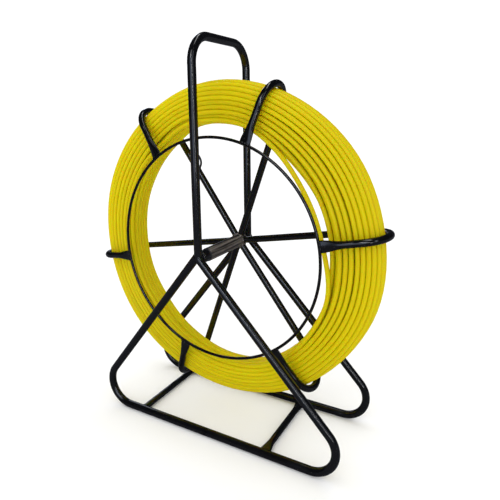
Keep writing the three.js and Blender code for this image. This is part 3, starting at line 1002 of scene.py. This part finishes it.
# ---------------------------------------------------------------- studio
def make_floor():
    """White paper under the object, so wide that its edge is never seen."""
    far = 60.0
    corners = [(-far, -far, 0), (far, -far, 0), (far, far, 0), (-far, far, 0)]
    mesh = bpy.data.meshes.new("floor")
    mesh.from_pydata(corners, [], [(0, 1, 2, 3)])
    floor = bpy.data.objects.new("floor", mesh)
    bpy.context.collection.objects.link(floor)
    material = bpy.data.materials.new("floor_paper")
    material.use_nodes = True
    tree = material.node_tree
    tree.nodes.clear()
    paper = studio_white(tree, "ShaderNodeBsdfDiffuse", (0.97, 0.97, 0.97, 1), (0.12, 0.125, 0.15, 1))
    out = tree.nodes.new("ShaderNodeOutputMaterial")
    tree.links.new(paper.outputs[0], out.inputs["Surface"])
    mesh.materials.append(material)


def make_light(name, place, aim, size, brightness, colour, turn=0.0, mirrored_only=False):
    """A softbox. Its brightness is what a mirror would show of it. turn rolls it, in degrees."""
    data = bpy.data.lights.new(name, "AREA")
    data.shape = "RECTANGLE"
    data.size, data.size_y = size
    data.energy = brightness * math.pi * size[0] * size[1]
    data.color = colour
    lamp = bpy.data.objects.new(name, data)
    facing = (Vector(aim) - Vector(place)).to_track_quat("-Z", "Y").to_matrix().to_4x4()
    lamp.matrix_world = Matrix.Translation(place) @ facing @ Matrix.Rotation(math.radians(turn), 4, "Z")
    lamp.visible_camera = False
    lamp.visible_diffuse = not mirrored_only
    bpy.context.collection.objects.link(lamp)


def studio_white(tree, kind, white, mirrored):
    """A shader that is white, but dark where something glossy mirrors it, as if black flags stood round."""
    path, mix = tree.nodes.new("ShaderNodeLightPath"), tree.nodes.new("ShaderNodeMix")
    mix.data_type = "RGBA"
    mix.inputs[6].default_value = white
    mix.inputs[7].default_value = mirrored
    tree.links.new(path.outputs["Is Glossy Ray"], mix.inputs[0])
    shader = tree.nodes.new(kind)
    tree.links.new(mix.outputs[2], shader.inputs["Color"])
    return shader


def make_world(light, mirrored, seen):
    """Even light from all round. The camera sees the same white behind the object as the floor has."""
    world = bpy.data.worlds.new("studio")
    bpy.context.scene.world = world
    world.use_nodes = True
    tree = world.node_tree
    tree.nodes.clear()
    path = tree.nodes.new("ShaderNodeLightPath")
    around = studio_white(tree, "ShaderNodeBackground", (light, light, light, 1), (*mirrored, 1))
    behind = tree.nodes.new("ShaderNodeBackground")
    behind.inputs["Color"].default_value = (seen, seen, seen, 1)
    mix, out = tree.nodes.new("ShaderNodeMixShader"), tree.nodes.new("ShaderNodeOutputWorld")
    tree.links.new(path.outputs["Is Camera Ray"], mix.inputs[0])
    tree.links.new(around.outputs[0], mix.inputs[1])
    tree.links.new(behind.outputs[0], mix.inputs[2])
    tree.links.new(mix.outputs[0], out.inputs["Surface"])


def make_lights():
    """Softboxes. All but the key light only show as reflections."""
    target = Vector((0, 0, 0.25))
    towards = (CAMERA_PLACE - target).normalized()
    leftwards = Vector((-math.cos(CAMERA_YAW), -math.sin(CAMERA_YAW), 0))
    upwards = Vector((0, 0, 1))
    near_camera = towards * 1.5 + leftwards * 0.5 + upwards * 0.25
    before_reel = target + towards * 1.3 + upwards * 0.12
    white, cool, blue, deep_blue = (1, 1, 1), (0.95, 0.97, 1), (0.8, 0.87, 1), (0.66, 0.77, 1)
    make_light("key", (0.4, -1.9, 1.9), target, (1.2, 0.8), 2.2, cool)
    make_light("front", near_camera, target, (1.1, 1.1), 1.8, deep_blue, 0, True)
    make_light("diagonal", before_reel, target, (1.7, 0.05), 20, white, -47, True)
    make_light("side", (1.9, -0.9, 1.1), target, (0.25, 1.4), 4, blue, 0, True)
    make_light("rim", (-1.6, 1.5, 1.2), target, (0.3, 1.4), 4, blue, 0, True)
    make_light("top", (0.1, 0.1, 1.9), target, (1.6, 0.2), 6, white, 0, True)


# ---------------------------------------------------------------- scene
make_camera()
bpy.context.scene.view_settings.view_transform = "Standard"
make_world(light=1.17, mirrored=(0.03, 0.032, 0.04), seen=1.1)
make_floor()
make_lights()

rod, rod_line = make_rod(rod_coat())
brass = turned_metal("brass", (0.62, 0.42, 0.16), 0.28)
ferrules = [
    make_ferrule("inner_ferrule", INNER_FERRULE_ANGLE, INNER_FERRULE_PLACE, -1, brass, "inner_rod_ferrule"),
    make_ferrule(
        "leading_ferrule", LEADING_FERRULE_ANGLE, LEADING_FERRULE_PLACE, 1, brass, "leading_rod_ferrule"
    ),
]

frame_coat = black_coat("frame_coat", (0.0022, 0.0023, 0.003), 0.14)
cage_coat = black_coat("cage_coat", (0.0016, 0.0016, 0.002), 0.13)
make_frame("front_frame", -1, frame_coat)
make_frame("rear_frame", 1, frame_coat)
make_handle_seam(frame_coat)
make_crossbar("left_crossbar", LEFT_CROSSBAR_X, False, frame_coat)
make_crossbar("right_crossbar", RIGHT_CROSSBAR_X, True, frame_coat)
for index, angle in enumerate(HOOK_ANGLES):
    make_hook(index, angle, cage_coat)
make_ring(cage_coat)
make_guide(cage_coat)
make_hub(hub_metal())
plastic = nylon()
make_bush("front_bush", HUB_FRONT, plastic)
make_bush("rear_bush", HUB_REAR, plastic)
make_collar("front_collar", -1, frame_coat)
make_collar("rear_collar", 1, frame_coat)
make_axle(turned_metal("ground_steel", (0.55, 0.55, 0.56), 0.25))
